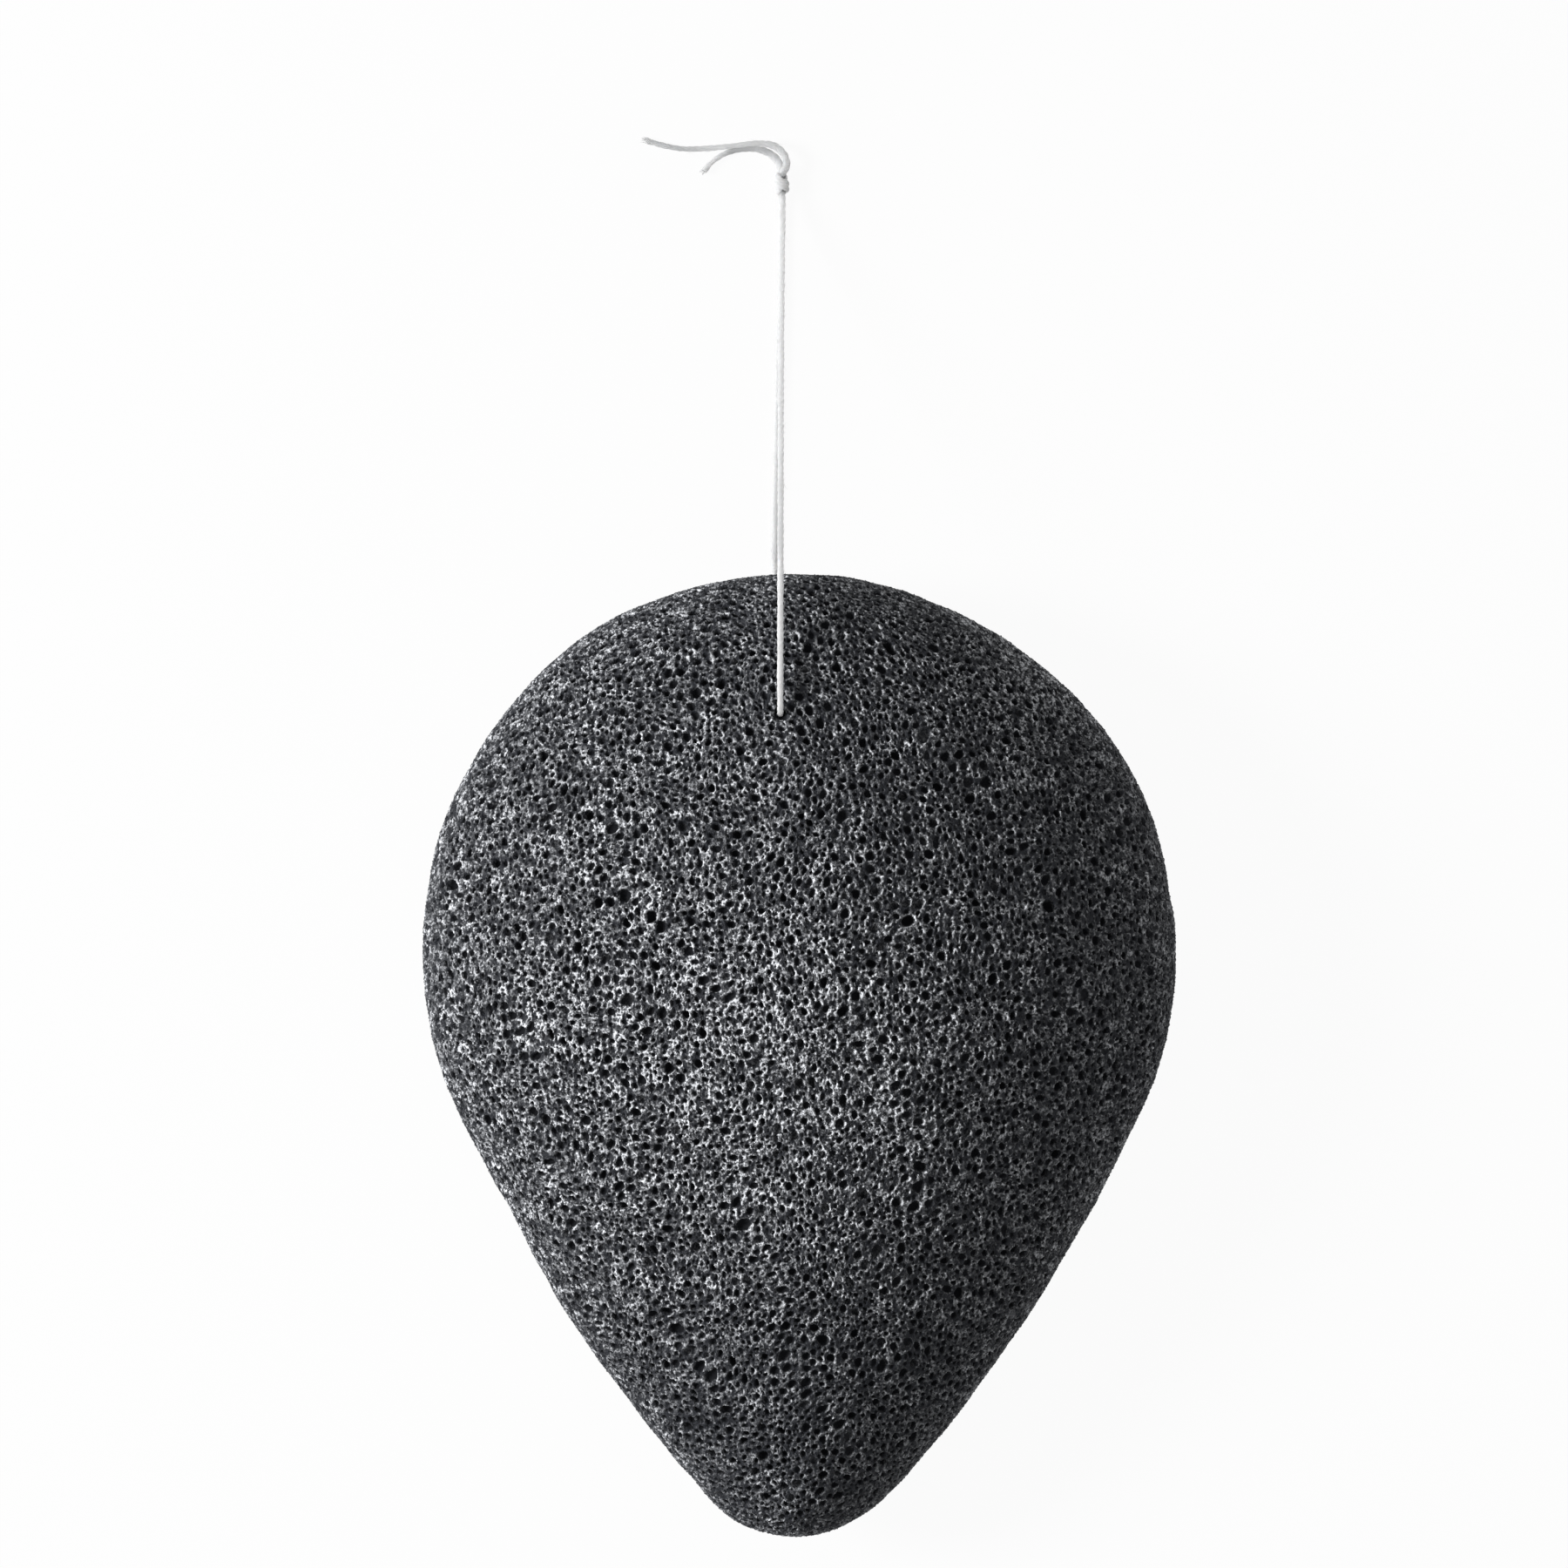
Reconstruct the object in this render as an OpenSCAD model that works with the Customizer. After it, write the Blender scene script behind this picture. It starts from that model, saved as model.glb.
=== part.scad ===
// Drop-shaped konjac sponge with the cotton string that it is hung up by.
// It lies on its belly: +Z points out of the domed front, +Y from the tip to the round head.
// The origin is on the surface that it lies on, at the middle of the sponge's plan. Millimetres.

/* [Sponge outline] */
// Length of the sponge, from its tip to the top of its head
sponge_l = 92; // [84:1:108]
// Radius of the round head, seen from the front
head_r = 36; // [32:0.5:40]
// Radius of the rounded tip, seen from the front
tip_r = 11.5; // [8:0.5:14]
// Radius of the long bowed flank between head and tip
flank_r = 134; // [100:2:240]

/* [Sponge thickness] */
// Height of the widest outline above the surface that the sponge lies on
rim_h = 8; // [6:0.5:11]
// Rise of the domed front above that outline
dome_rise = 18; // [12:0.5:24]
// Rounding of the front's tip, seen from the side at the width of the head
dome_tip_r = 18; // [12:0.5:24]
// Rounding of the belly's tip, seen the same way
belly_tip_r = 25; // [16:0.5:28]
// Depth by which the belly is cut flat where it rests
flat_cut = 0.5; // [0.3:0.05:0.8]

/* [String channel] */
// Diameter of the twisted cotton string
string_d = 0.6; // [0.4:0.05:0.6]
// Gap all round the string in its channel
channel_gap = 0.08; // [0.04:0.01:0.1]
// Distance of the channel from the sponge's middle line, negative to the left
channel_x = -1.8; // [-4:0.1:4]
// Distance of the channel from the top of the head
channel_from_top = 13.5; // [9:0.5:18]
// Radius of the flared mouth that the string bends over
mouth_r = 0.8; // [0.6:0.05:1.2]
// Depth of that flare
mouth_depth = 0.9; // [0.5:0.05:1.5]

/* [Knot] */
// Radius of the knot at its thickest
knot_r = 0.9; // [0.7:0.05:0.9]
// Radius of the knot's ends, where both strings run in and out
knot_end_r = 0.65; // [0.62:0.01:0.68]
// Length of the knot along the string
knot_l = 2; // [1.5:0.1:2]

/* [Hidden] */

// How full a section across is: 2 is an ellipse, less comes to a ridge and more is squarer.
dome_fullness_share = 1.65;
belly_fullness_share = 2.4;

head_stations = 14;  // sections from the top of the head to the widest one
tail_stations = 22;  // sections from there to the tip
section_points = 32; // points round one section
string_sides = 8;
knot_steps = 10;
overrun = 1;         // how far each cut runs past what it cuts

head_y = sponge_l / 2 - head_r;
belly_depth = rim_h + flat_cut;
channel_y = sponge_l / 2 - channel_from_top;
channel_r = string_d / 2 + channel_gap;

// Where the channel's axis meets the surface that the sponge lies on, and how far on
// from there the knot's near end is.
channel_place = [channel_x, channel_y, 0];
knot_step = [0.1, 50.5, 0];
tails_place = channel_place + knot_step + [0, knot_l, 0];

// Cord routes, in millimetres. The strands run from the ends of the straight stretch in
// the channel to the knot, and are measured from channel_place.
front_route = [
    [0, 0, 21.2], [0, 0.04, 21.51], [0, 0.16, 21.8], [0, 0.35, 22.05], [0, 0.6, 22.24],
    [0, 0.89, 22.36], [0, 1.2, 22.4], [0, 1.51, 22.36], [0, 1.8, 22.25], [0, 3.5, 21.5],
    [0.01, 7.5, 19.7], [0.02, 13.5, 17], [0.03, 19.5, 14.3], [0.04, 25.5, 11.6],
    [0.06, 31.5, 8.9], [0.09, 37.5, 6.2], [0.13, 42, 4.2], [0.16, 45, 2.9],
    [0.19, 47.5, 1.95], [0.21, 49.2, 1.44], [0.22, 50.5, 1.22]];
back_route = [
    [0, 0, 1.5], [0, 0.04, 1.19], [0, 0.16, 0.9], [0, 0.35, 0.65], [0, 0.6, 0.46],
    [0, 0.89, 0.34], [0, 1.2, 0.3], [-0.08, 2.5, 0.3], [-0.28, 5.5, 0.3], [-0.48, 9.5, 0.3],
    [-0.58, 13.5, 0.3], [-0.5, 19.5, 0.3], [-0.36, 25.5, 0.3], [-0.2, 31.5, 0.3],
    [-0.05, 37.5, 0.3], [0.07, 43.5, 0.3], [0.09, 47.6, 0.32], [0.07, 49.3, 0.42],
    [0.05, 50.5, 0.58]];
// The tails run on from the knot's far end, and are measured from tails_place.
long_tail_route = [
    [0.15, 0, 1.2], [0.48, 0.7, 1.2], [0.42, 1.35, 1.2], [0.05, 2.05, 1.16],
    [-0.65, 2.6, 1.1], [-1.6, 2.86, 1.04], [-2.7, 2.88, 0.98], [-3.9, 2.75, 0.92],
    [-5.1, 2.62, 0.78], [-6.5, 2.5, 0.52], [-8.1, 2.42, 0.34], [-9.7, 2.44, 0.3],
    [-11.3, 2.72, 0.3], [-13.2, 3.25, 0.3]];
short_tail_route = [
    [-0.1, 0, 0.6], [-0.14, 0.7, 0.44], [-0.45, 1.35, 0.34], [-1.05, 1.92, 0.3],
    [-2, 2.32, 0.3], [-3.25, 2.42, 0.3], [-4.6, 2.26, 0.3], [-5.75, 1.82, 0.3],
    [-6.75, 1.12, 0.3], [-7.5, 0.3, 0.3]];
across = [1, 0, 0];
along_sponge = [0, 1, 0];
upward = [0, 0, 1];

// Half width at y of a drop as long as the sponge: the head's circle, a circle of radius
// end_r at the tip, and on each side a flank circle that holds both and touches them.
function drop_half(y, end_r) =
    let (end_y = end_r - sponge_l / 2,
         centres = head_y - end_y,
         to_head = flank_r - head_r,
         to_end = flank_r - end_r,
         along = (centres * centres + to_head * to_head - to_end * to_end) / (2 * centres),
         flank_x = -sqrt(to_head * to_head - along * along),
         flank_y = head_y - along)
    y > head_y + head_r * along / to_head ? sqrt(max(0, head_r * head_r - pow(y - head_y, 2)))
    : y > end_y + end_r * (end_y - flank_y) / to_end
        ? flank_x + sqrt(flank_r * flank_r - pow(y - flank_y, 2))
    : sqrt(max(0, end_r * end_r - pow(y - end_y, 2)));

// The plan, and the heights of the front and the belly over and under the rim, are such drops.
function half_width(y) = drop_half(y, tip_r);
function dome_reach(y) = dome_rise * drop_half(y, dome_tip_r) / head_r;
function belly_reach(y) = belly_depth * drop_half(y, belly_tip_r) / head_r;

// Share of its section's height that the surface has, x_share of the way out to the rim.
function bulge(x_share, fullness) = pow(1 - pow(abs(x_share), fullness), 1 / fullness);

function dome_z(x, y) = rim_h + dome_reach(y) * bulge(x / half_width(y), dome_fullness_share);
function belly_z(x, y) = rim_h - belly_reach(y) * bulge(x / half_width(y), belly_fullness_share);

// One point of the section at y, at that angle up from the right-hand rim.
function power_of(value, fullness) = sign(value) * pow(abs(value), 2 / fullness);
function section_point(y, angle) =
    let (above = sin(angle) >= 0,
         fullness = above ? dome_fullness_share : belly_fullness_share,
         reach = above ? dome_reach(y) : belly_reach(y))
    [half_width(y) * power_of(cos(angle), fullness), y,
     rim_h + reach * power_of(sin(angle), fullness)];

// Triangles of a tube of rings, each of that many points, closed by a point at each end:
// the first point is before the first ring and the last after the last ring.
function ring_index(ring, i, sides) = 1 + ring * sides + i % sides;
function tube_faces(rings, sides) = concat(
    [for (i = [0 : sides - 1]) [0, ring_index(0, i, sides), ring_index(0, i + 1, sides)]],
    [for (ring = [0 : rings - 2]) for (i = [0 : sides - 1]) for (half = [0, 1])
        half == 0
        ? [ring_index(ring, i, sides), ring_index(ring + 1, i, sides),
           ring_index(ring + 1, i + 1, sides)]
        : [ring_index(ring, i, sides), ring_index(ring + 1, i + 1, sides),
           ring_index(ring, i + 1, sides)]],
    [for (i = [0 : sides - 1])
        [rings * sides + 1, ring_index(rings - 1, i + 1, sides), ring_index(rings - 1, i, sides)]]);

function unit(v) = v / norm(v);
function flatten_once(lists) = [for (list = lists) for (item = list) item];

// Direction of a route at one of its points; the ends keep the directions given.
function heading(route, i, first, last) =
    i == 0 ? first : i == len(route) - 1 ? last
    : unit(unit(route[i + 1] - route[i]) + unit(route[i] - route[i - 1]));

function string_ring(centre, along, side) =
    let (u = unit(side - (side * along) * along), v = cross(along, u))
    [for (i = [0 : string_sides - 1])
        let (angle = 360 * i / string_sides)
        centre + string_d / 2 * (cos(angle) * u + sin(angle) * v)];

// The solid drop before anything is cut from it.
module drop_form() {
    tail_l = sponge_l - head_r;
    station_ys = concat(
        [for (j = [1 : head_stations]) head_y + head_r * cos(90 * j / head_stations)],
        [for (j = [1 : tail_stations - 1]) head_y - tail_l * sin(90 * j / tail_stations)]);
    rings = [for (y = station_ys)
        [for (i = [0 : section_points - 1]) section_point(y, 360 * i / section_points)]];
    polyhedron(
        points = concat([[0, sponge_l / 2, rim_h]], flatten_once(rings), [[0, -sponge_l / 2, rim_h]]),
        faces = tube_faces(len(rings), section_points));
}

// A flare that widens from the channel to its mouth; up is 1 for the front and -1 for the back.
module mouth_flare(mouth_z, up) {
    translate([channel_x, channel_y, mouth_z])
        mirror([0, 0, up > 0 ? 0 : 1])
            translate([0, 0, -mouth_depth])
                cylinder(h = 2 * mouth_depth, r1 = channel_r,
                         r2 = channel_r + 2 * (mouth_r - channel_r), $fn = 48);
}

// The sponge, one block of konjac foam.
module sponge_body() {
    color("#36373b")
        difference() {
            drop_form();
            translate([-head_r, -sponge_l / 2, -belly_depth])
                cube([2 * head_r, sponge_l, belly_depth]);
            translate([channel_x, channel_y, -overrun])
                cylinder(h = rim_h + dome_rise + 2 * overrun, r = channel_r, $fn = 48);
            mouth_flare(dome_z(channel_x, channel_y), 1);
            mouth_flare(belly_z(channel_x, channel_y), -1);
        }
}

// One stretch of string, swept along its route's own points. It sets off along first,
// arrives along last, and has its first corner on that side.
module string_stretch(place, route, first, last, side) {
    count = len(route);
    rings = [for (i = [0 : count - 1])
        string_ring(route[i], heading(route, i, first, last), side)];
    color("#efefec")
        translate(place)
            polyhedron(
                points = concat([route[0]], flatten_once(rings), [route[count - 1]]),
                faces = tube_faces(count, string_sides));
}

// The straight stretch inside the sponge, which the loop turns about.
module string_in_channel() {
    front_z = front_route[0].z;
    back_z = back_route[0].z;
    color("#efefec")
        translate(channel_place + [0, 0, back_z])
            cylinder(h = front_z - back_z, d = string_d, $fn = 48);
}

module string_front_strand() {
    string_stretch(channel_place, front_route, upward, along_sponge, across);
}

module string_back_strand() {
    string_stretch(channel_place, back_route, -upward, along_sponge, across);
}

// The overhand knot that both strands are tied into, as one rounded barrel.
module string_knot() {
    color("#efefec")
        translate(channel_place + knot_step + [0, 0, knot_r])
            rotate([-90, 0, 0])
                rotate_extrude($fn = 48)
                    polygon(concat(
                        [[0, 0]],
                        [for (k = [0 : knot_steps])
                            [knot_end_r + (knot_r - knot_end_r) * sin(180 * k / knot_steps),
                             knot_l * k / knot_steps]],
                        [[0, knot_l]]));
}

module string_tail_long() {
    string_stretch(tails_place, long_tail_route, along_sponge, unit([-1.8, 0.5, 0]), upward);
}

module string_tail_short() {
    string_stretch(tails_place, short_tail_route, along_sponge, unit([-0.7, -0.8, 0]), upward);
}

sponge_body();
string_in_channel();
string_front_strand();
string_back_strand();
string_knot();
string_tail_long();
string_tail_short();
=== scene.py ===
"""A charcoal konjac sponge with its knotted cotton hanging string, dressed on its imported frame.

The sponge is one dense mesh of its drop form, with every pore sunk into it. The string is two
laid cords that run from the middle of the sponge's channel, one out of the front and one out of
the belly, through the knot to a tail each. Lengths are in millimetres until MM makes them metres.
"""
import math
import random

import bpy
import numpy as np
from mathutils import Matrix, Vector, kdtree


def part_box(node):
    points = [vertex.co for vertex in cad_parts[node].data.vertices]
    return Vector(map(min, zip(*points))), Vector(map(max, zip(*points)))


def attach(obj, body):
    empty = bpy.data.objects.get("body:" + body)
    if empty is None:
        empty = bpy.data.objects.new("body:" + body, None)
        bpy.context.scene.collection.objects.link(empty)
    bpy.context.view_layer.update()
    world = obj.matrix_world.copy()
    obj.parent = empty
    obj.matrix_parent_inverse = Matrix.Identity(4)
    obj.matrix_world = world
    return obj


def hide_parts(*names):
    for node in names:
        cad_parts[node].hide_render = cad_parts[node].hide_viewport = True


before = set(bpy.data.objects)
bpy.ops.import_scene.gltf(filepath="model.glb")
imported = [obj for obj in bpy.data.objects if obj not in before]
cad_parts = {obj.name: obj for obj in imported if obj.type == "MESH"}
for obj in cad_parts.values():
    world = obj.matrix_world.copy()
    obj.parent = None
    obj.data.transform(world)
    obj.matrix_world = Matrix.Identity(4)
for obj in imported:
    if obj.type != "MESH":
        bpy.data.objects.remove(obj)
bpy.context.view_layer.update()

MM = 0.001
SEED = 7

# Sponge form, from the frame's own box where it says them
sponge_low, sponge_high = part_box("sponge_body")
SPONGE_L = (sponge_high.y - sponge_low.y) / MM
HEAD_R = (sponge_high.x - sponge_low.x) / 2 / MM
SPONGE_H = sponge_high.z / MM
RIM_H = 8.0
TIP_R = 11.5
FLANK_R = 134.0
DOME_TIP_R = 18.0
BELLY_TIP_R = 25.0
FLAT_CUT = 0.5
DOME_FULLNESS = 1.65
BELLY_FULLNESS = 2.4
DOME_RISE = SPONGE_H - RIM_H
BELLY_DEPTH = RIM_H + FLAT_CUT
HEAD_Y = SPONGE_L / 2 - HEAD_R

# Channel through the head
CHANNEL_X = -1.8
CHANNEL_Y = SPONGE_L / 2 - 13.5
CHANNEL_R = 0.38
MOUTH_R = 0.8
MOUTH_DEPTH = 0.9

# How far apart the mesh's points lie, front and back
DOME_SPACING = 0.13
BELLY_SPACING = 0.20

# String, and its knot's near end measured across and along from the channel
STRING_D = 0.6
KNOT_L = 2.0
KNOT_STEP = (0.1, 50.5)
CHANNEL_MIDDLE_Z = 11.4

# Colours
FOAM = (0.0175, 0.019, 0.0235, 1)
# The webs' pale colour is partly their own glassy pale and partly painted glints, where lit walls
# would shine
FOAM_WEB_AND_GLINT = (0.88, 0.90, 0.94, 1)
# The pores' colour is painted shade: near-black painted into the pores and the channel for the
# shade in their hollows
PORE_SHADE = (0.0036, 0.004, 0.0056, 1)
COTTON_DULL = (0.77, 0.775, 0.78, 1)
COTTON_FRESH = (0.87, 0.875, 0.88, 1)
# A whiter copy of the cotton, painted light for its stretch on the foam where less light reaches
# it
COTTON_PAINTED_LIT = (0.96, 0.96, 0.96, 1)
PAPER = (0.80, 0.80, 0.80, 1)
WHITE = (1, 1, 1, 1)

# Along the string, where its stretch on the foam, painted whiter as painted light, ends and its
# plain cotton begins
PAINTED_LIT_TO = 45
PLAIN_FROM = 49

# Camera: how far its long lens stands off the rim, and the point that it looks straight down at
LENS_MM = 150.0
SENSOR_MM = 36.0
FRAME_WIDTH = 150.0
AIM = (-1.45, 25.92)


def make_camera():
    """A long lens that looks straight down at the sponge."""
    data = bpy.data.cameras.new("camera")
    data.lens = LENS_MM
    data.sensor_width = SENSOR_MM
    data.clip_start = 0.01
    data.clip_end = 10.0
    camera = bpy.data.objects.new("camera", data)
    bpy.context.scene.collection.objects.link(camera)
    stand_off = FRAME_WIDTH * LENS_MM / SENSOR_MM
    camera.location = (AIM[0] * MM, AIM[1] * MM, (RIM_H + stand_off) * MM)
    bpy.context.scene.camera = camera


make_camera()


class Wire:
    """A node's output that takes part in sums: each operator adds the Math node that it names."""

    def __init__(self, finish, socket):
        self.finish = finish
        self.socket = socket

    def maths(self, operation, *values):
        sockets = dict(enumerate(values))
        return self.finish.add("ShaderNodeMath", {"operation": operation}, sockets)

    def __add__(self, other):
        return self.maths("ADD", self, other)

    def __sub__(self, other):
        return self.maths("SUBTRACT", self, other)

    def __rsub__(self, other):
        return self.maths("SUBTRACT", other, self)

    def __mul__(self, other):
        return self.maths("MULTIPLY", self, other)

    __radd__ = __add__
    __rmul__ = __mul__

    def clamped(self):
        return self.finish.add("ShaderNodeClamp", {}, {"Value": self})

    def between(self, low, high):
        """0 at low or under, 1 at high or over, and smooth between."""
        return self.finish.add("ShaderNodeMapRange", {"interpolation_type": "SMOOTHSTEP"},
                               {"Value": self, "From Min": low, "From Max": high})

    def spread(self, low, high):
        """Low where it was 0 and high where it was 1."""
        return self * (high - low) + low


class Finish:
    """One material, and the one method that adds a node to it."""

    def __init__(self, name):
        self.material = bpy.data.materials.new(name)
        self.material.use_nodes = True
        self.nodes = self.material.node_tree.nodes
        self.links = self.material.node_tree.links
        self.shader = self.nodes["Principled BSDF"]

    def plug(self, node, sockets):
        for name, value in sockets.items():
            if isinstance(value, Wire):
                self.links.new(value.socket, node.inputs[name])
            else:
                node.inputs[name].default_value = value

    def add(self, kind, settings, sockets, output=0):
        node = self.nodes.new(kind)
        for name, value in settings.items():
            setattr(node, name, value)
        self.plug(node, sockets)
        return Wire(self, node.outputs[output])

    def attribute(self, name):
        return self.add("ShaderNodeAttribute", {"attribute_name": name}, {}, "Fac")

    def place(self):
        return self.add("ShaderNodeTexCoord", {}, {}, "Object")

    def stretched(self, place, shares):
        return self.add("ShaderNodeVectorMath", {"operation": "MULTIPLY"}, {0: place, 1: shares})

    def noise(self, place, size, detail=2.0, roughness=0.5):
        """Noise whose lumps are about that size, in millimetres."""
        return self.add("ShaderNodeTexNoise", {}, {
            "Vector": place, "Scale": 1 / (size * MM), "Detail": detail, "Roughness": roughness},
            "Fac")

    def bump(self, height, depth, strength=1.0):
        """Relief up to that depth, in millimetres."""
        return self.add("ShaderNodeBump", {}, {
            "Strength": strength, "Distance": depth * MM, "Height": height})

    def mix(self, share, first, second):
        node = self.nodes.new("ShaderNodeMix")
        node.data_type = "RGBA"
        share_in, first_in, second_in = node.inputs[0], node.inputs[6], node.inputs[7]
        for socket, value in ((share_in, share), (first_in, first), (second_in, second)):
            if isinstance(value, Wire):
                self.links.new(value.socket, socket)
            else:
                socket.default_value = value
        return Wire(self, node.outputs[2])

    def set(self, **sockets):
        self.plug(self.shader, {name.replace("_", " "): value for name, value in sockets.items()})


def konjac_foam():
    """Dry charcoal foam: pale glassy webs, partly painted glints, round pores painted near-black
    as painted shade.
    """
    foam = Finish("konjac_foam")
    place = foam.place()
    pit_shade = foam.attribute("pit_shade")
    web = foam.attribute("web")
    # How much pale web shows: raised in painted highlight patches, lowered towards the tip as
    # painted shade
    webs_and_painted_light = foam.attribute("webs_and_painted_light")
    crumbs = foam.noise(place, size=0.25, detail=1.0)
    grain = foam.noise(foam.stretched(place, (1.2, 0.75, 1.0)), size=0.55, roughness=0.6)
    specks = foam.noise(place, size=1.2, roughness=0.6)
    clumps = foam.noise(place, size=2.2)
    patches = foam.noise(place, size=6.0)
    # The pale webs: partly the foam's own glassy walls, partly painted glints where lit walls
    # would shine
    pale = grain.between(0.42, 0.62) * specks.between(0.30, 0.66).spread(0.25, 1.0)
    pale = pale * crumbs.between(0.38, 0.58).spread(0.2, 1.4) * web.spread(0.4, 1.4)
    pale = pale * clumps.between(0.30, 0.70).spread(0.45, 1.15)
    pale = (pale * patches.spread(0.55, 1.43) * webs_and_painted_light).clamped()
    body = foam.mix(pale, FOAM, FOAM_WEB_AND_GLINT)
    # Painted shade: the pores' hollows are painted near-black
    colour = foam.mix(pit_shade.between(0.05, 0.70), body, PORE_SHADE)
    relief = (grain * 0.7 + crumbs * 0.3) * (1.0 - pit_shade * 0.8)
    roughness = (pit_shade * 0.4 - pale * 0.15 + 0.52).clamped()
    foam.set(Base_Color=colour, Roughness=roughness, Specular_IOR_Level=0.15,
             Normal=foam.bump(relief, depth=0.42))
    return foam.material


def cotton():
    """Matt off-white cotton with fine fibres, painted whiter as painted light where it lies on the
    foam.
    """
    yarn = Finish("cotton_string")
    place = yarn.place()
    fibres = yarn.noise(place, size=0.06, detail=3.0, roughness=0.7)
    stains = yarn.noise(place, size=2.5)
    tone = (fibres * 0.5 + stains * 0.5).between(0.3, 0.7)
    dulled = yarn.mix(tone, COTTON_DULL, COTTON_FRESH)
    along = yarn.add("ShaderNodeSeparateXYZ", {}, {"Vector": place}, "Y")
    # Painted light: the stretch on the foam takes the whiter cotton, up to where the plain cotton
    # begins
    past_painted_light = along.between(PAINTED_LIT_TO * MM, PLAIN_FROM * MM)
    see_in = 8.0 * MM
    yarn.shader.subsurface_method = "RANDOM_WALK_SKIN"
    yarn.set(Base_Color=yarn.mix(past_painted_light, COTTON_PAINTED_LIT, dulled), Roughness=0.9,
             Specular_IOR_Level=0.0, Subsurface_Weight=1.0, Subsurface_Scale=1.0,
             Subsurface_Radius=(see_in, see_in, see_in),
             Normal=yarn.bump(fibres, depth=0.03, strength=0.5))
    return yarn.material


def mesh_piece(name, points_mm, triangles, material):
    """A smooth-shaded object of these points, in millimetres, and triangles."""
    mesh = bpy.data.meshes.new(name)
    mesh.vertices.add(len(points_mm))
    mesh.vertices.foreach_set("co", (points_mm * MM).astype(np.float32).ravel())
    mesh.loops.add(triangles.size)
    mesh.loops.foreach_set("vertex_index", triangles.astype(np.int32).ravel())
    mesh.polygons.add(len(triangles))
    mesh.polygons.foreach_set("loop_start", np.arange(0, triangles.size, 3, dtype=np.int32))
    mesh.polygons.foreach_set("use_smooth", np.ones(len(triangles), dtype=bool))
    mesh.update()
    mesh.validate()
    mesh.materials.append(material)
    piece = bpy.data.objects.new(name, mesh)
    bpy.context.scene.collection.objects.link(piece)
    return piece


# String routes: the points of the part's own cords. The strands are measured from the channel's
# axis at floor height, and the tails from the knot's far end.
FRONT_ROUTE = [
    (0, 0, 21.2), (0, 0.04, 21.51), (0, 0.16, 21.8), (0, 0.35, 22.05), (0, 0.6, 22.24),
    (0, 0.89, 22.36), (0, 1.2, 22.4), (0, 1.51, 22.36), (0, 1.8, 22.25), (0, 3.5, 21.5),
    (0.01, 7.5, 19.7), (0.02, 13.5, 17), (0.03, 19.5, 14.3), (0.04, 25.5, 11.6),
    (0.06, 31.5, 8.9), (0.09, 37.5, 6.2), (0.13, 42, 4.2), (0.16, 45, 2.9),
    (0.19, 47.5, 1.95), (0.21, 49.2, 1.44), (0.22, 50.5, 1.22)]
BACK_ROUTE = [
    (0, 0, 1.5), (0, 0.04, 1.19), (0, 0.16, 0.9), (0, 0.35, 0.65), (0, 0.6, 0.46),
    (0, 0.89, 0.34), (0, 1.2, 0.3), (-0.08, 2.5, 0.3), (-0.28, 5.5, 0.3), (-0.48, 9.5, 0.3),
    (-0.58, 13.5, 0.3), (-0.5, 19.5, 0.3), (-0.36, 25.5, 0.3), (-0.2, 31.5, 0.3),
    (-0.05, 37.5, 0.3), (0.07, 43.5, 0.3), (0.09, 47.6, 0.32), (0.07, 49.3, 0.42),
    (0.05, 50.5, 0.58)]
LONG_TAIL_ROUTE = [
    (0.15, 0, 1.2), (0.48, 0.7, 1.2), (0.42, 1.35, 1.2), (0.05, 2.05, 1.16),
    (-0.65, 2.6, 1.1), (-1.6, 2.86, 1.04), (-2.7, 2.88, 0.98), (-3.9, 2.75, 0.92),
    (-5.1, 2.62, 0.78), (-6.5, 2.5, 0.52), (-8.1, 2.42, 0.34), (-9.7, 2.44, 0.3),
    (-11.3, 2.72, 0.3), (-13.2, 3.25, 0.3)]
SHORT_TAIL_ROUTE = [
    (-0.1, 0, 0.6), (-0.14, 0.7, 0.44), (-0.45, 1.35, 0.34), (-1.05, 1.92, 0.3),
    (-2, 2.32, 0.3), (-3.25, 2.42, 0.3), (-4.6, 2.26, 0.3), (-5.75, 1.82, 0.3),
    (-6.75, 1.12, 0.3), (-7.5, 0.3, 0.3)]

# Inside the channel, the string's heights from the sponge's middle up and down
CHANNEL_UP = (13.5, 16.0, 18.5, 20.2)
CHANNEL_DOWN = (9.0, 6.5, 4.0, 2.5)

# Twist: the plies, their radius and distance from the string's middle, and the length of a turn
PLIES = 3
PLY_R = 0.225
PLY_OFFSET = 0.08
LAY = 2.1
RING_STEP = 0.12
PLY_SIDES = 8

# Loose fibres along the string, and the tuft at a frayed end: least and most of each measure
HAIRS_PER_MM = 1.2
HAIR_L = (0.35, 0.9)
HAIR_LIFT = (0.12, 0.34)
HAIR_R = (0.012, 0.006)
TUFT_COUNT = 22
TUFT_L = (0.12, 0.45)
TUFT_ROOT = (0.02, 0.30)
TUFT_SPREAD = (0.0, 0.16)
TUFT_R = (0.035, 0.010)
FIBRE_POINTS = 6

# Knot: how many turns each strand makes, from what part of a turn, how far out, how much it is
# swollen, where the first starts, how far the second lies behind it and how far each gets along
KNOT_TURNS = 1.06
KNOT_START = -0.28
KNOT_REACH = 0.54
KNOT_SWELL = 1.06
KNOT_FIRST = 0.22
KNOT_LAG = 0.50
KNOT_RUN = 1.06

# Knot: its height, how far its turns and core lie to the left, the core as places along it and
# radii, and the step of the skin that makes them one
KNOT_Z = 0.86
KNOT_TURNS_X = -0.07
KNOT_CORE_X = -0.05
KNOT_CORE = ((0.0, 0.46), (0.25, 0.62), (1.0, 0.66), (1.75, 0.62), (2.0, 0.45))
KNOT_CORE_SIDES = 16
KNOT_VOXEL = 0.045


def moved(route, x, y):
    return [(p[0] + x, p[1] + y, p[2]) for p in route]


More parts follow.
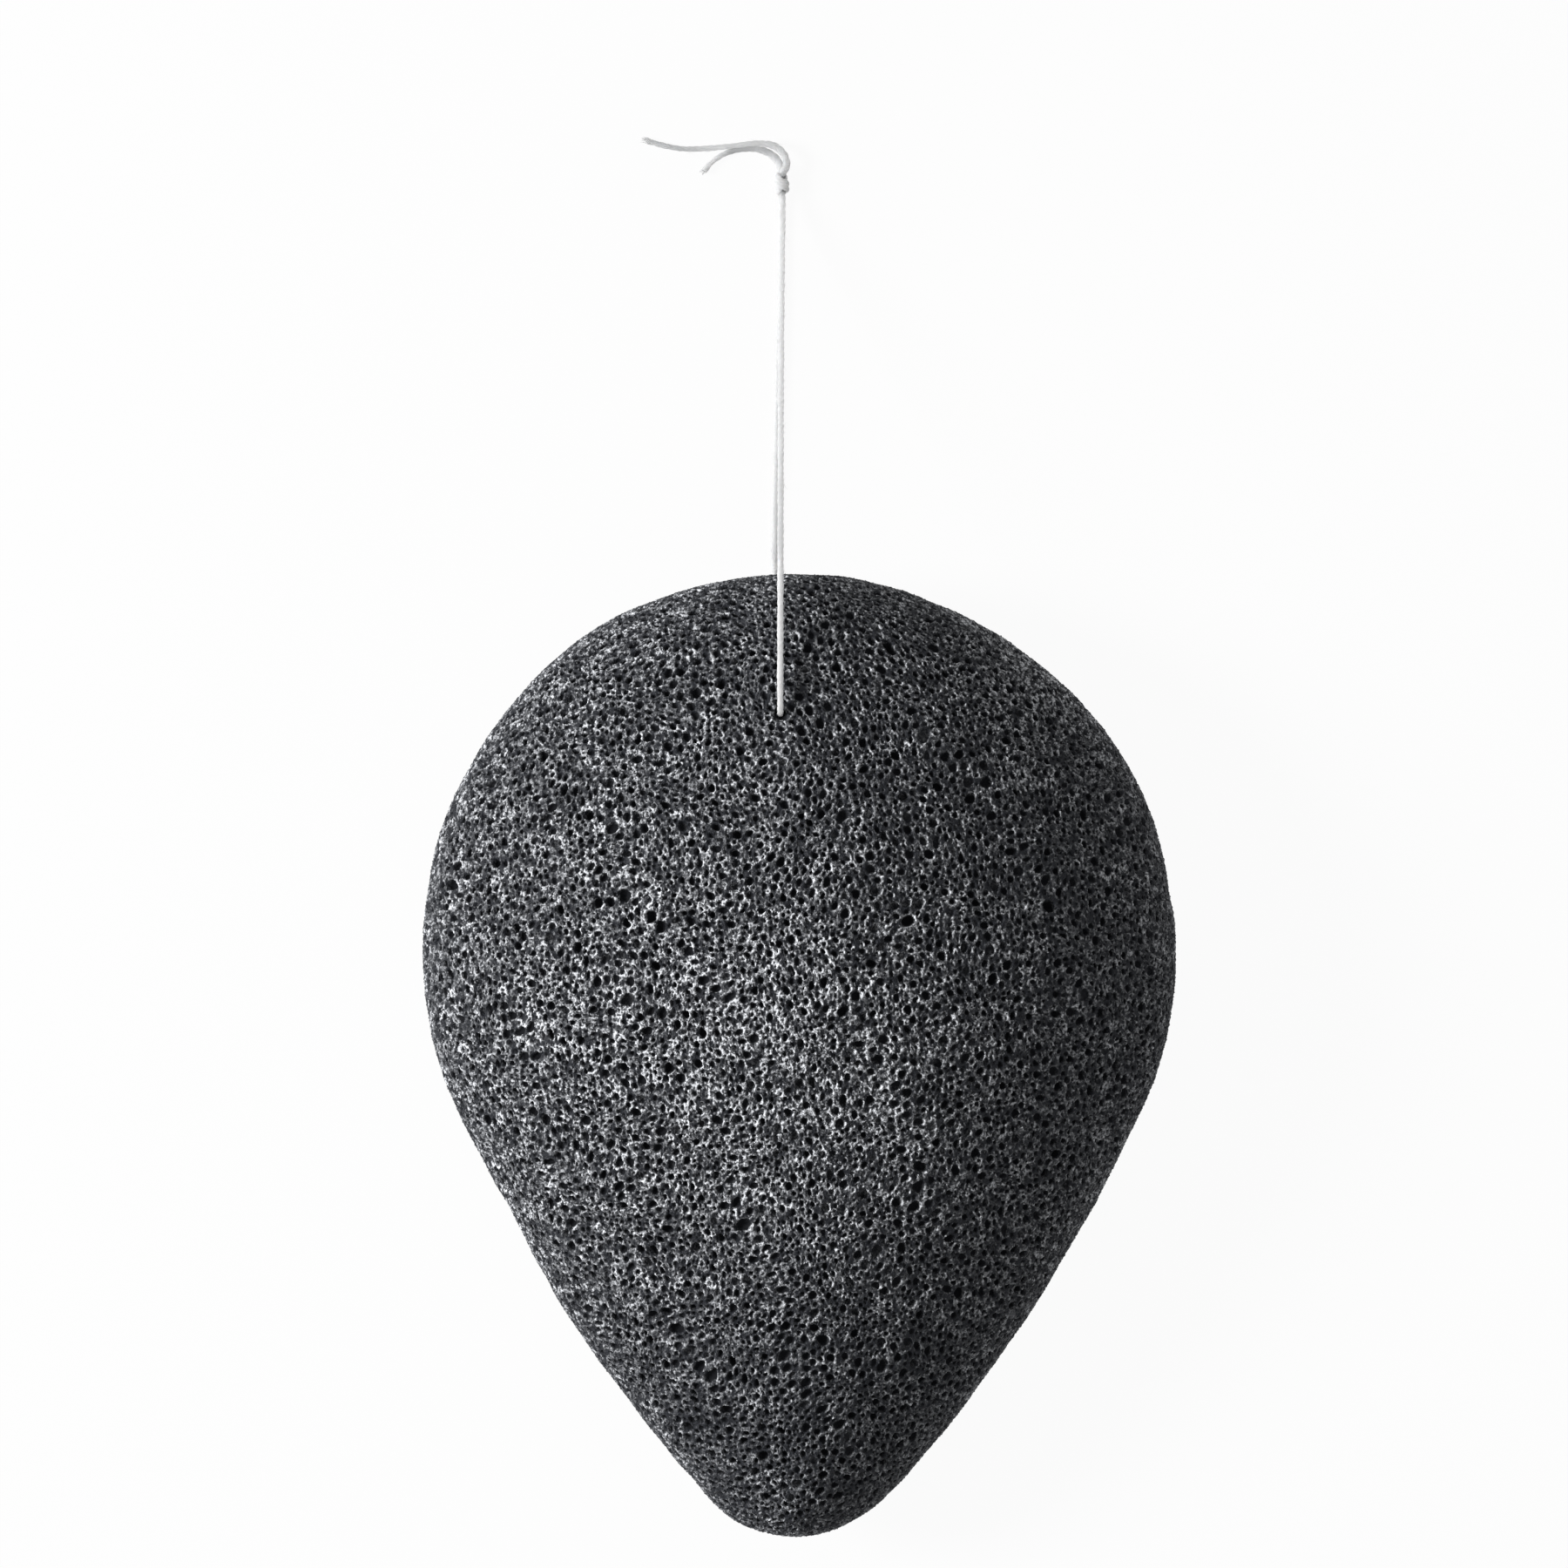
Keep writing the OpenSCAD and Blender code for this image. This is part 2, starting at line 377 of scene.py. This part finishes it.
def evenly(points, step):
    """Points along a smooth curve through these, that far apart."""
    p = np.array(points, dtype=float)
    p = np.vstack([2 * p[0] - p[1], p, 2 * p[-1] - p[-2]])
    fine = []
    for a, b, c, d in zip(p[:-3], p[1:-2], p[2:-1], p[3:]):
        knots = np.cumsum([0] + [math.sqrt(np.linalg.norm(v)) for v in (b - a, c - b, d - c)])
        count = max(4, int(np.linalg.norm(c - b) / step * 3))
        t = np.linspace(knots[1], knots[2], count, endpoint=False)[:, None]

        def blend(one, other, start, stop):
            return ((stop - t) * one + (t - start) * other) / (stop - start)

        ab = blend(a, b, knots[0], knots[1])
        bc = blend(b, c, knots[1], knots[2])
        cd = blend(c, d, knots[2], knots[3])
        fine.append(blend(blend(ab, bc, knots[0], knots[2]), blend(bc, cd, knots[1], knots[3]),
                          knots[1], knots[2]))
    fine = np.vstack(fine + [p[-2:-1]])
    run = np.r_[0, np.cumsum(np.linalg.norm(np.diff(fine, axis=0), axis=1))]
    count = max(2, round(run[-1] / step) + 1)
    even = np.linspace(0, run[-1], count)
    return np.stack([np.interp(even, run, fine[:, k]) for k in range(3)], axis=1)


def unit(v):
    return v / np.linalg.norm(v)


def frames(line):
    """Unit vectors along a line and two across it that turn as little as they can."""
    along = np.gradient(line, axis=0)
    along /= np.linalg.norm(along, axis=1)[:, None]
    side = np.zeros_like(along)
    side[0] = unit(np.cross(along[0], (0.3, 0.5, 0.8)))
    for i in range(1, len(line)):
        side[i] = unit(side[i - 1] - along[i] * (side[i - 1] @ along[i]))
    return along, side, np.cross(along, side)


def tube(line, radii, turn):
    """Points and triangles of a closed tube along a line: for each ring, its radii and angles."""
    _, side, up = frames(line)
    rings = line[:, None] + radii[..., None] * (
        np.cos(turn)[..., None] * side[:, None] + np.sin(turn)[..., None] * up[:, None])
    sides = turn.shape[-1]
    points = np.vstack([line[:1], rings.reshape(-1, 3), line[-1:]])
    corner, corner_after = np.arange(sides), (np.arange(sides) + 1) % sides
    start = 1 + np.arange(len(line) - 1)[:, None] * sides
    here, after = start + corner, start + corner_after
    last = 1 + (len(line) - 1) * sides
    triangles = np.vstack([
        np.stack([here, after, after + sides], -1).reshape(-1, 3),
        np.stack([here, after + sides, here + sides], -1).reshape(-1, 3),
        np.stack([0 * corner, 1 + corner_after, 1 + corner], -1),
        np.stack([0 * corner + len(points) - 1, last + corner, last + corner_after], -1)])
    return points, triangles


def fibre(path, radii):
    """A fine round tube, for a single thread of cotton."""
    turn = np.tile(np.arange(4) * math.pi / 2, (len(path), 1))
    return tube(path, np.tile(np.asarray(radii)[:, None], (1, 4)), turn)


def joined(tubes):
    """The points and triangles of several tubes as those of one mesh."""
    points, triangles, count = [], [], 0
    for p, t in tubes:
        points.append(p)
        triangles.append(t + count)
        count += len(p)
    return np.vstack(points), np.vstack(triangles)


def run_of(line):
    """How far along an evenly stepped line each of its points lies."""
    return np.arange(len(line)) * np.linalg.norm(line[1] - line[0])


def plumpness(line, dice, swell=1.0, tail_l=0.0):
    """How thick a string is along its line, as a share of its plain thickness.

    Its tail, of that length, is loose by the knot, then thinner, and frayed at its end.
    """
    run = run_of(line)
    plump = swell * (1 + 0.05 * np.sin(run * 1.3 + dice.uniform(0, 6)) + 0.03 * np.sin(run * 4.1))
    if tail_l:
        from_end = (0, 0.8, tail_l - 4.5, tail_l - 3, tail_l - 0.8, tail_l + 1)
        share = (1.1, 0.88, 0.9, 1.28, 1.28, 1)
        plump = plump * np.interp(run[-1] - run, from_end, share)
    return plump


def laid_string(line, plump, dice):
    """A string of three plies twisted together, as one tube with three rounded ridges."""
    run = run_of(line)
    drift = sum(dice.uniform(0.1, 0.3) * np.sin(run / dice.uniform(1, 6) + dice.uniform(0, 6))
                for _ in range(4))
    sides = PLIES * PLY_SIDES
    around = (np.arange(sides) + 0.5) / sides * 2 * math.pi
    off_ridge = (around + math.pi / PLIES) % (2 * math.pi / PLIES) - math.pi / PLIES
    ridge = PLY_OFFSET * np.cos(off_ridge) + np.sqrt(
        PLY_R ** 2 - (PLY_OFFSET * np.sin(off_ridge)) ** 2)
    turn = around + (2 * math.pi * run / LAY + drift)[:, None]
    return tube(line, plump[:, None] * ridge, turn)


def hairs(line, plump, count, dice):
    """Short loose cotton fibres that stand a little off the string."""
    _, side, up = frames(line)
    tubes = []
    for _ in range(count):
        start = dice.randrange(20, len(line) - 12)
        angle = dice.uniform(0, 2 * math.pi)
        out = math.cos(angle) * side[start] + math.sin(angle) * up[start]
        along = unit(line[start + 8] - line[start]) * dice.choice((-1, 1))
        long = dice.uniform(*HAIR_L)
        lift = dice.uniform(*HAIR_LIFT)
        bend = np.cross(out, along) * dice.uniform(-0.3, 0.3)
        share = np.linspace(0, 1, FIBRE_POINTS)[:, None]
        path = (line[start] + out * (STRING_D / 2 * plump[start] + lift * share ** 1.3)
                + along * long * share + bend * share ** 2)
        path[:, 2] = np.maximum(path[:, 2], 0.03)
        tubes.append(fibre(path, np.linspace(*HAIR_R, FIBRE_POINTS)))
    return tubes


def tuft(line, count, dice):
    """The fan of fibres at a frayed end."""
    _, side, up = frames(line)
    tubes = []
    end = line[-1]
    along = unit(line[-1] - line[-6])
    for _ in range(count):
        angle = dice.uniform(0, 2 * math.pi)
        out = math.cos(angle) * side[-1] + math.sin(angle) * up[-1]
        root = dice.uniform(*TUFT_ROOT)
        spread = dice.uniform(*TUFT_SPREAD)
        long = dice.uniform(*TUFT_L)
        share = np.linspace(0, 1, FIBRE_POINTS)[:, None]
        path = end + out * (root + spread * share ** 1.5) + along * long * share
        path[:, 2] = np.maximum(path[:, 2], 0.04)
        tubes.append(fibre(path, np.linspace(*TUFT_R, FIBRE_POINTS)))
    return tubes


def length_of(line):
    return np.linalg.norm(np.diff(line, axis=0), axis=1).sum()


def make_string(name, route, tail, replaced, dice, material):
    """One cord: out of the channel, past the knot and on to its tail's bare end."""
    line = evenly(route + tail, RING_STEP)
    length = length_of(line)
    plump = plumpness(line, dice, tail_l=length_of(evenly(tail, RING_STEP)))
    points, triangles = joined([laid_string(line, plump, dice)]
                               + hairs(line, plump, int(length * HAIRS_PER_MM), dice)
                               + tuft(line, TUFT_COUNT, dice))
    points[:, 2] = np.maximum(points[:, 2], 0)
    piece = mesh_piece(name, points, triangles, material)
    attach(piece, "string")
    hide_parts(*replaced)
    [tuple(p * MM) for p in line[::4]] + [tuple(line[-1] * MM)]
    return piece


def merge(piece):
    """Makes a piece of overlapping tubes one closed skin."""
    skin = piece.modifiers.new("merge", "REMESH")
    skin.mode = "VOXEL"
    skin.voxel_size = KNOT_VOXEL * MM
    skin.use_smooth_shade = True
    soften = piece.modifiers.new("soften", "SMOOTH")
    soften.iterations = 3
    whole = piece.evaluated_get(bpy.context.evaluated_depsgraph_get())
    piece.data = bpy.data.meshes.new_from_object(whole)
    piece.modifiers.clear()


def make_knot(dice, material):
    """The overhand knot: both strings' turns round themselves, side by side."""
    axis = np.array([CHANNEL_X + KNOT_STEP[0], CHANNEL_Y + KNOT_STEP[1], KNOT_Z])
    tubes = []
    for strand in range(2):
        share = np.linspace(0, 1, 60)
        turn = 2 * math.pi * (KNOT_TURNS * share + KNOT_START)
        tucked_in = np.clip(np.minimum(share, 1 - share) * 8, 0.1, 1) ** 0.7
        x, z = (KNOT_REACH * tucked_in * way(turn) for way in (np.cos, np.sin))
        y = KNOT_FIRST + KNOT_LAG * strand + KNOT_RUN * share
        line = evenly(axis + np.stack([x + KNOT_TURNS_X, y, z], 1), 0.08)
        tubes.append(laid_string(line, plumpness(line, dice, swell=KNOT_SWELL), dice))
    core = axis + np.array([[KNOT_CORE_X, y, 0] for y, _ in KNOT_CORE])
    shape = (len(KNOT_CORE), KNOT_CORE_SIDES)
    radii = np.tile([[r] for _, r in KNOT_CORE], (1, KNOT_CORE_SIDES))
    around = np.broadcast_to(np.arange(KNOT_CORE_SIDES) * 2 * math.pi / KNOT_CORE_SIDES, shape)
    tubes.append(tube(core, radii, around))
    points, triangles = joined(tubes)
    points[:, 2] = np.maximum(points[:, 2], 0)
    piece = mesh_piece("string_knot_turns", points, triangles, material)
    merge(piece)
    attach(piece, "string")
    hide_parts("string_knot")
    return piece


def make_strings():
    dice = random.Random(SEED)
    material = cotton()
    tails_x, tails_y = CHANNEL_X + KNOT_STEP[0], CHANNEL_Y + KNOT_STEP[1] + KNOT_L
    middle = [(CHANNEL_X, CHANNEL_Y, CHANNEL_MIDDLE_Z)]
    front = (middle + [(CHANNEL_X, CHANNEL_Y, z) for z in CHANNEL_UP]
             + moved(FRONT_ROUTE, CHANNEL_X, CHANNEL_Y))
    back = (middle + [(CHANNEL_X, CHANNEL_Y, z) for z in CHANNEL_DOWN]
            + moved(BACK_ROUTE, CHANNEL_X, CHANNEL_Y))
    make_string("string_front_and_long_tail", front, moved(LONG_TAIL_ROUTE, tails_x, tails_y),
                ("string_in_channel", "string_front_strand", "string_tail_long"), dice, material)
    make_string("string_back_and_short_tail", back, moved(SHORT_TAIL_ROUTE, tails_x, tails_y),
                ("string_back_strand", "string_tail_short"), dice, material)
    make_knot(dice, material)


make_strings()


def drop_half(y, end_r):
    """Half width at y of a drop with the head's circle and a tip circle of that radius."""
    end_y = end_r - SPONGE_L / 2
    centres = HEAD_Y - end_y
    to_head, to_end = FLANK_R - HEAD_R, FLANK_R - end_r
    along = (centres ** 2 + to_head ** 2 - to_end ** 2) / (2 * centres)
    flank_x, flank_y = -math.sqrt(to_head ** 2 - along ** 2), HEAD_Y - along

    def circle(centre, r):
        return np.sqrt(np.maximum(0, r * r - (y - centre) ** 2))

    return np.where(y > HEAD_Y + HEAD_R * along / to_head, circle(HEAD_Y, HEAD_R),
                    np.where(y > end_y + end_r * (end_y - flank_y) / to_end,
                             flank_x + circle(flank_y, FLANK_R), circle(end_y, end_r)))


def section(y, angle):
    """The section's outline at y: x and z at these angles up from the right-hand rim."""
    above = np.sin(angle) >= 0
    power = 2 / np.where(above, DOME_FULLNESS, BELLY_FULLNESS)
    reach = np.where(above, DOME_RISE * drop_half(y, DOME_TIP_R),
                     BELLY_DEPTH * drop_half(y, BELLY_TIP_R)) / HEAD_R
    c, s = np.cos(angle), np.sin(angle)
    x = drop_half(y, TIP_R) * np.sign(c) * np.abs(c) ** power
    z = RIM_H + reach * np.sign(s) * np.abs(s) ** power
    return x, np.maximum(z, 0)


# How finely an outline and a section are measured before they are split evenly
OUTLINE_STEPS = 4001
SECTION_STEPS = 1441


def ring_places():
    """How far along the sponge each ring of the mesh lies, evenly along its outline."""
    fine = SPONGE_L / 2 * -np.cos(np.linspace(0, math.pi, OUTLINE_STEPS))
    step = np.hypot(np.diff(fine), np.diff(drop_half(fine, TIP_R)))
    run = np.r_[0, np.cumsum(step)]
    count = round(run[-1] / DOME_SPACING)
    return np.interp(np.linspace(0, run[-1], count + 1)[1:-1], run, fine)


def ring_of(y, phase):
    """One ring's points, their place round it and their distance from the crest and the keel."""
    angle = np.linspace(0, 2 * math.pi, SECTION_STEPS)
    x, z = section(y, angle)
    step = np.hypot(np.diff(x), np.diff(z))
    worth = np.where(angle[1:] <= math.pi, 1 / DOME_SPACING, 1 / BELLY_SPACING)
    run = np.r_[0, np.cumsum(step)]
    tally = np.r_[0, np.cumsum(step * worth)]
    count = max(5, round(tally[-1]))
    share = (np.arange(count) + phase) / count
    at = np.interp(share * tally[-1], tally, angle)
    x, z = section(y, at)
    s = np.interp(at, angle, run)
    round_l = run[-1]
    crest, keel = np.interp([math.pi / 2, 3 * math.pi / 2], angle, run)
    off_crest = (s - crest + round_l / 2) % round_l - round_l / 2
    off_keel = (s - keel + round_l / 2) % round_l - round_l / 2
    return np.stack([x, np.full(count, y), z], axis=1), share, off_crest, off_keel


def stitched(first, second, start_first, start_second):
    """Triangles between two rings, whose points lie at these shares of the way round."""
    n, m = len(first), len(second)
    mid_first = (first + np.append(first[1:], first[0] + 1)) / 2
    mid_second = (second + np.append(second[1:], second[0] + 1)) / 2
    near_second = np.searchsorted(mid_second, mid_first % 1)
    near_first = np.searchsorted(mid_first, mid_second % 1)
    i, j = np.arange(n), np.arange(m)
    lower = [start_first + (i + 1) % n, start_first + i, start_second + near_second % m]
    upper = [start_second + j, start_second + (j + 1) % m, start_first + near_first % n]
    return np.vstack([np.stack(lower, 1), np.stack(upper, 1)])


def drop_mesh():
    """The smooth drop: points, triangles, and each point's distance from crest and keel."""
    dice = np.random.default_rng(SEED)
    places = ring_places()
    points, crest, keel, triangles = [np.array([[0, -SPONGE_L / 2, RIM_H]])], [[0]], [[0]], []
    start, last_share, last_start = 1, None, None
    for y in places:
        ring, share, off_crest, off_keel = ring_of(y, dice.uniform(0, 0.5))
        if last_share is None:
            i = np.arange(len(ring))
            triangles.append(np.stack([np.zeros(len(ring), int), start + i,
                                       start + (i + 1) % len(ring)], 1))
        else:
            triangles.append(stitched(last_share, share, last_start, start))
        points.append(ring)
        crest.append(off_crest)
        keel.append(off_keel)
        last_share, last_start = share, start
        start += len(ring)
    i = np.arange(len(last_share))
    triangles.append(np.stack([last_start + (i + 1) % len(i), last_start + i,
                               np.full(len(i), start)], 1))
    points.append(np.array([[0, SPONGE_L / 2, RIM_H]]))
    crest.append([0])
    keel.append([0])
    return (np.vstack(points), np.vstack(triangles), np.concatenate(crest), np.concatenate(keel))


def normals_of(points, triangles):
    a, b, c = (points[triangles[:, k]] for k in range(3))
    face = np.cross(b - a, c - a)
    total = np.stack([np.bincount(triangles.ravel(), np.repeat(face[:, k], 3), len(points))
                      for k in range(3)], axis=1)
    return total / np.maximum(np.linalg.norm(total, axis=1), 1e-12)[:, None]


def waves(points, size, count, dice):
    """Smooth random swell from -1 to 1 with crests about that far apart."""
    total = np.zeros(len(points))
    for _ in range(count):
        way = dice.normal(size=3)
        way *= 2 * math.pi / size * dice.uniform(0.7, 1.3) / np.linalg.norm(way)
        total += np.sin(points @ way + dice.uniform(0, 2 * math.pi))
    return total / math.sqrt(count)


# Where the drop begins to lean, over what length, and how far to the left: head's top and tip
TOP_LEAN = (31, 12, 0.9)
TIP_LEAN = (-40, -6, 0.45)


def lean(y):
    """How far the drop leans to one side at y."""
    total = 0
    for start, length, far in (TOP_LEAN, TIP_LEAN):
        share = np.clip((y - start) / length, 0, 1)
        total = total - far * share ** 2 * (3 - 2 * share)
    return total


# Pore families, largest first: smallest and largest radius, the web left between pores, and how
# many of the places that are free take one
PORES = [(0.46, 0.60, 0.14, 0.0009), (0.34, 0.46, 0.12, 0.010), (0.23, 0.33, 0.10, 0.04),
         (0.15, 0.23, 0.08, 0.5)]

# How far pores are pushed out of round, as size of the waves and reach, and how near the rim
# they shrink
WARPS = ((7.0, 0.42), (0.9, 0.045))
RIM_SHRINK = 0.4
RIM_REACH = 2.5


def warped(points, dice):
    """Points pushed about, so that a ball round one of them is no longer round."""
    bent = points
    for size, reach in WARPS:
        bent = bent + reach * np.stack([waves(points, size, 6, dice) for _ in range(3)], axis=1)
    return bent


def sink_pores(points, rim):
    """How deep each point lies in a pore, how dark that pore is painted there as painted shade,
    and how near a pore's edge is.
    """
    dice = np.random.default_rng(SEED + 1)
    coords = warped(points, dice).tolist()
    tree = kdtree.KDTree(len(coords))
    for i, p in enumerate(coords):
        tree.insert(p, i)
    tree.balance()
    room = [9.0] * len(points)
    depth = [0.0] * len(points)
    dark = [0.0] * len(points)
    small = (1 - RIM_SHRINK * np.exp(-(rim / RIM_REACH) ** 2)).tolist()
    for low, high, web, share in PORES:
        order = dice.permutation(len(points)).tolist()
        size = (low + (high - low) * dice.random(len(points)) ** 1.6).tolist()
        bore = (0.9 + 0.8 * dice.random(len(points))).tolist()
        gloom = 1 - 0.75 * dice.random(len(points)) ** 2.5
        gloom = (gloom * min(1, low / 0.19)).tolist()
        taken = (dice.random(len(points)) < share).tolist()
        for v in order:
            if not taken[v]:
                continue
            r = size[v] * small[v]
            if room[v] < r + web:
                continue
            for _, i, d in tree.find_range(coords[v], r + high + web):
                if d - r < room[i]:
                    room[i] = d - r
                if d < r:
                    hollow = (1 - (d / r) ** 2) ** 0.5
                    depth[i] = max(depth[i], bore[v] * r * hollow)
                    # Painted shade of this pore: darkest at its middle
                    dark[i] = max(dark[i], gloom[v] * hollow)
    return np.array(depth), np.array(dark), np.array(room)


# Points nearer the channel's axis than this go down inside it
INNER_R = 0.22


def open_channel(points, z_smooth):
    """Sinks the string's channel, with its flared mouth, into the points round it."""
    off = points[:, :2] - (CHANNEL_X, CHANNEL_Y)
    far = np.hypot(*off.T)
    sense = np.where(z_smooth > RIM_H, -1.0, 1.0)
    flare = np.clip((MOUTH_R - far) / (MOUTH_R - CHANNEL_R), 0, 1) * MOUTH_DEPTH
    points[:, 2] += np.where(far < MOUTH_R, sense * flare, 0)
    edge = (far < CHANNEL_R + 0.06) & (far > INNER_R)
    points[edge, :2] = (CHANNEL_X, CHANNEL_Y) + off[edge] * (CHANNEL_R / far[edge])[:, None]
    inner = far <= INNER_R
    points[inner, :2] = (CHANNEL_X, CHANNEL_Y) + off[inner] * (0.97 * CHANNEL_R / INNER_R)
    points[inner, 2] = CHANNEL_MIDDLE_Z
    return far


# Painted light on the dome's webs: patches painted paler as painted highlights where the dome
# looks brighter, each with its middle, its reach and how much
PAINTED_LIGHT_PATCHES = (((-12, 5), (18, 20), 0.92), ((5, -4), (10, 13), 0.85), ((24, 37), (8, 8), 0.9),
                ((-16, 35), (11, 8), 0.15))
# The patch whose pores are painted less dark as a painted highlight, the plain share of pale webs,
# and how much the webs fade towards the tip as painted shade
PAINTED_HIGHLIGHT_PATCH = PAINTED_LIGHT_PATCHES[1]
PALE_WEB_PLAIN = 0.68
TIP_PAINTED_SHADE = 0.16


def patch_of(points, middle, reach):
    """1 in the middle of a patch and nothing well outside it."""
    x, y = ((points[:, k] - middle[k]) / reach[k] for k in range(2))
    return np.exp(-x ** 2 - y ** 2)


def pale_webs_and_painted_light(points):
    """How much of its pale webs the foam shows at each point, with painted highlight patches and
    painted shade towards the tip.
    """
    painted_light = sum(much * patch_of(points, middle, reach) for middle, reach, much in PAINTED_LIGHT_PATCHES)
    # Painted shade: the pale webs fade out towards the tip
    low_end = np.clip(-(points[:, 1] + 12) / 24, 0, 1)
    return PALE_WEB_PLAIN + painted_light * (points[:, 2] > RIM_H) - TIP_PAINTED_SHADE * low_end


# The foam's swell: size of its waves, how many are summed and their height; what lies lower than
# this lies flatter, and so does what lies nearer to the channel
SWELLS = ((22.0, 8, 0.16), (4.0, 10, 0.045))
CRUMB_H = 0.035
FLATTER_UNDER = 3.0
CALM_R = 1.0

# How far from its axis the channel is painted dark, as painted shade inside it
CHANNEL_SHADE_R = 0.7


def make_sponge():
    points, triangles, off_crest, off_keel = drop_mesh()
    points[:, 0] += lean(points[:, 1])
    smooth = points.copy()
    normals = normals_of(points, triangles)
    dice = np.random.default_rng(SEED + 2)
    lift = np.clip(points[:, 2] / FLATTER_UNDER, 0, 1)
    from_channel = np.hypot(points[:, 0] - CHANNEL_X, points[:, 1] - CHANNEL_Y)
    mouth = np.clip((from_channel - CALM_R) / 2, 0, 1)
    swell = sum(height * waves(points, size, count, dice) for size, count, height in SWELLS)
    depth, dark, room = sink_pores(points, points[:, 2] - RIM_H)
    depth = depth * np.clip((from_channel - MOUTH_R) / 0.4, 0, 1)
    crumb = CRUMB_H * dice.normal(size=len(points)) * lift
    points = points + normals * (swell * lift * mouth + crumb - depth)[:, None]
    points[:, 2] = np.maximum(points[:, 2], 0)
    far = open_channel(points, smooth[:, 2])
    piece = mesh_piece("konjac_foam_drop", points, triangles, konjac_foam())
    mesh = piece.data
    # Painted shade: how dark the pores and the channel's hollow are painted
    deep = np.maximum(dark, np.clip((CHANNEL_SHADE_R - far) / 0.3, 0, 1))
    # Painted highlight: pores painted less dark in the middle patch
    deep = deep * (1 - 0.25 * patch_of(points, *PAINTED_HIGHLIGHT_PATCH[:2]))
    web = np.clip(1 - np.abs(room - 0.03) / 0.14, 0, 1)
    for name, values in (("pit_shade", deep), ("web", web), ("webs_and_painted_light", pale_webs_and_painted_light(points))):
        layer = mesh.attributes.new(name, "FLOAT", "POINT")
        layer.data.foreach_set("value", values.astype(np.float32))
    lay_out(mesh, smooth, triangles, off_crest, off_keel)
    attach(piece, "sponge")
    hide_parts("sponge_body")
    return piece


# The surface's map: its width, and where the dome's and the belly's middles lie across it
MAP_W = 132.0
DOME_U = 46
BELLY_U = 90


def lay_out(mesh, smooth, triangles, off_crest, off_keel):
    """A map of the surface: the dome upright, and the belly beside it with its tip up."""
    front = (smooth[triangles][:, :, 2].mean(axis=1) > RIM_H)[:, None]
    along = smooth[triangles][:, :, 1]
    middle = SPONGE_L / 2 + 2
    u = np.where(front, DOME_U + off_crest[triangles], BELLY_U + off_keel[triangles]) / MAP_W
    v = np.where(front, middle + along, middle - along) / MAP_W
    layer = mesh.uv_layers.new(name="OFBake", do_init=False)
    layer.uv.foreach_set("vector", np.stack([u, v], axis=2).astype(np.float32).ravel())


make_sponge()


# Rays that see the white of the floor and backdrop, and how much of it glows on the floor
SEEING_RAYS = ("Is Camera Ray", "Is Glossy Ray", "Is Transmission Ray")
FLOOR_GLOW = 0.95
FLOOR_REACH = 1500.0
FLOOR_Z = -0.02

# Light from all round, and the key lamp: where it stands from the sponge, how far and how wide
# in metres, and its watts
AMBIENT = 0.24
KEY_DIRECTION = (-0.876, 0.108, 0.469)
KEY_DISTANCE_M = 0.8
KEY_WIDTH_M = 0.26
KEY_WATTS = 8.0


def make_floor():
    """A white floor that looks paper white to the camera and keeps a faint shadow."""
    paper = Finish("floor_paper")
    paper.set(Base_Color=PAPER, Roughness=0.9, Specular_IOR_Level=0.0)
    rays = paper.nodes.new("ShaderNodeLightPath")
    camera, glossy, through = (Wire(paper, rays.outputs[kind]) for kind in SEEING_RAYS)
    seen = (camera + glossy + through).clamped()
    glow = paper.add("ShaderNodeEmission", {}, {"Color": WHITE, "Strength": 1.0})
    mixed = paper.add("ShaderNodeMixShader", {}, {
        0: seen * FLOOR_GLOW, 1: Wire(paper, paper.shader.outputs[0]), 2: glow})
    paper.links.new(mixed.socket, paper.nodes["Material Output"].inputs["Surface"])
    corners = np.array([[-1, -1, 0], [1, -1, 0], [1, 1, 0], [-1, 1, 0]]) * FLOOR_REACH
    corners[:, 2] = FLOOR_Z
    floor = mesh_piece("floor", corners, np.array([[0, 1, 2], [0, 2, 3]]), paper.material)


def make_lights():
    """Even pale light, a white backdrop for the rays that see it, and one soft lamp."""
    world = bpy.data.worlds.new("studio")
    world.use_nodes = True
    bpy.context.scene.world = world
    nodes, links = world.node_tree.nodes, world.node_tree.links
    path = nodes.new("ShaderNodeLightPath")
    ambient, backdrop = nodes["Background"], nodes.new("ShaderNodeBackground")
    for background, strength in ((ambient, AMBIENT), (backdrop, 1.0)):
        background.inputs["Color"].default_value = WHITE
        background.inputs["Strength"].default_value = strength
    mixed = nodes.new("ShaderNodeMixShader")
    seen = path.outputs[SEEING_RAYS[0]]
    for kind in SEEING_RAYS[1:]:
        either = nodes.new("ShaderNodeMath")
        either.operation = "MAXIMUM"
        links.new(seen, either.inputs[0])
        links.new(path.outputs[kind], either.inputs[1])
        seen = either.outputs[0]
    links.new(seen, mixed.inputs[0])
    links.new(ambient.outputs[0], mixed.inputs[1])
    links.new(backdrop.outputs[0], mixed.inputs[2])
    links.new(mixed.outputs[0], nodes["World Output"].inputs["Surface"])
    lamp("key", KEY_DIRECTION, KEY_DISTANCE_M, KEY_WIDTH_M, KEY_WATTS)


def lamp(name, direction, distance, size, watts):
    """A round soft lamp that shines at the sponge, in metres."""
    data = bpy.data.lights.new(name, "AREA")
    data.shape = "DISK"
    data.size = size
    data.energy = watts
    piece = bpy.data.objects.new(name, data)
    bpy.context.scene.collection.objects.link(piece)
    way = Vector(direction).normalized()
    piece.location = Vector((0, 0, 0.01)) + way * distance
    piece.rotation_mode = "QUATERNION"
    piece.rotation_quaternion = way.to_track_quat("Z", "Y")


make_floor()
make_lights()
bpy.context.scene.view_settings.view_transform = "Standard"
